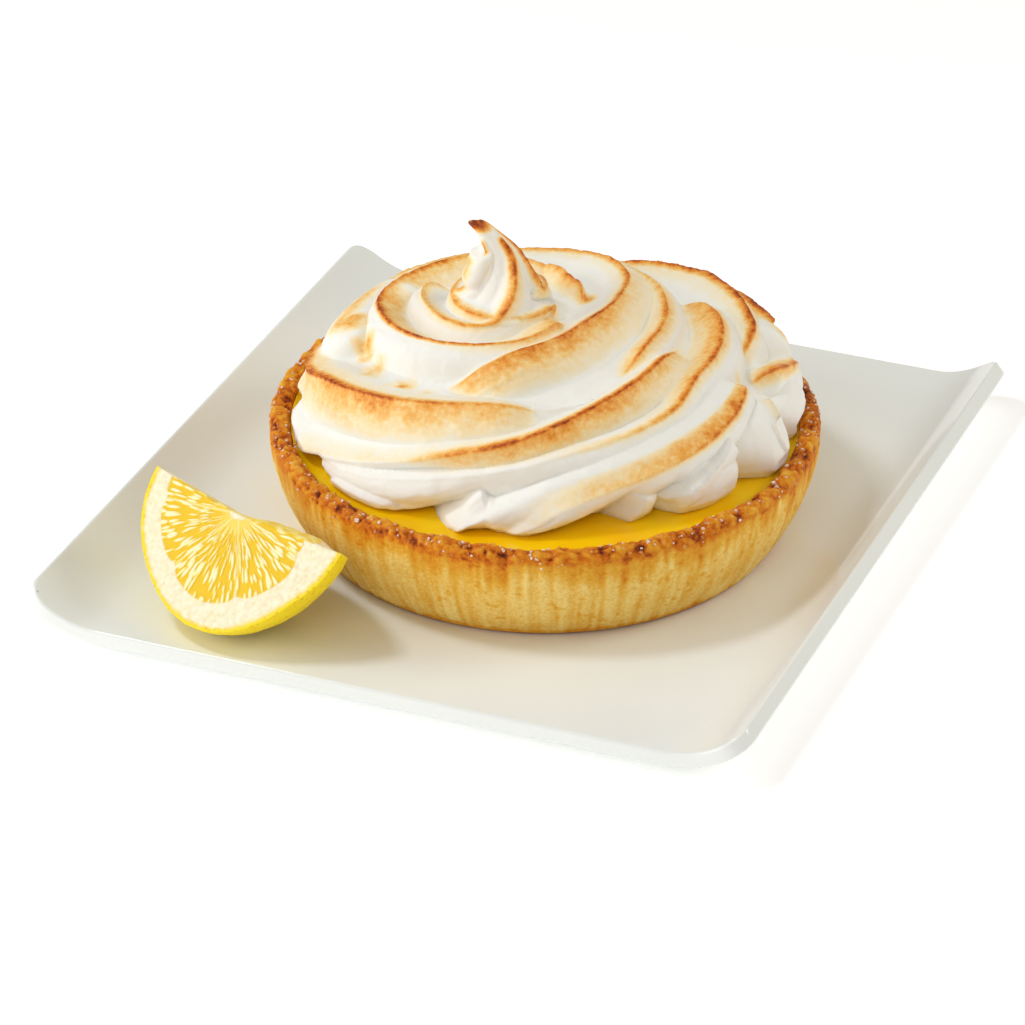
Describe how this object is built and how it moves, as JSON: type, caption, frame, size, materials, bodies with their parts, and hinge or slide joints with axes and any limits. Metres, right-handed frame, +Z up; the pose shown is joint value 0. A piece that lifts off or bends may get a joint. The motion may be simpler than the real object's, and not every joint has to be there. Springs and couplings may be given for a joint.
{
  "type": "lemon meringue pie",
  "caption": "Round lemon meringue pie in a shortcrust case, with browned piped swirls and a hooked peak, on a square plate with curled sides, beside a lemon wedge.",
  "frame": {"origin": "middle of the plate's foot, on the surface that it stands on", "axes": "+Z up, +X along the plate's straight front edge with the curled edges at -X and +X, +Y from the front edge to the back edge"},
  "size_m": [0.1848, 0.1882, 0.0822],
  "materials": {
    "plate_glaze": "glossy warm white porcelain glaze",
    "shortcrust": "dry baked shortcrust, golden wall and browned sugared rim",
    "curd": "glossy set lemon curd",
    "meringue": "satin whipped meringue with torched golden brown ridges",
    "lemon": "waxy yellow peel, white pith and wet yellow pulp"
  },
  "bodies": {
    "root": {"plate": "plate_glaze", "tart_case": "shortcrust", "lemon_curd": "curd", "meringue": "meringue", "lemon_wedge": "lemon"}
  },
  "joints": []
}
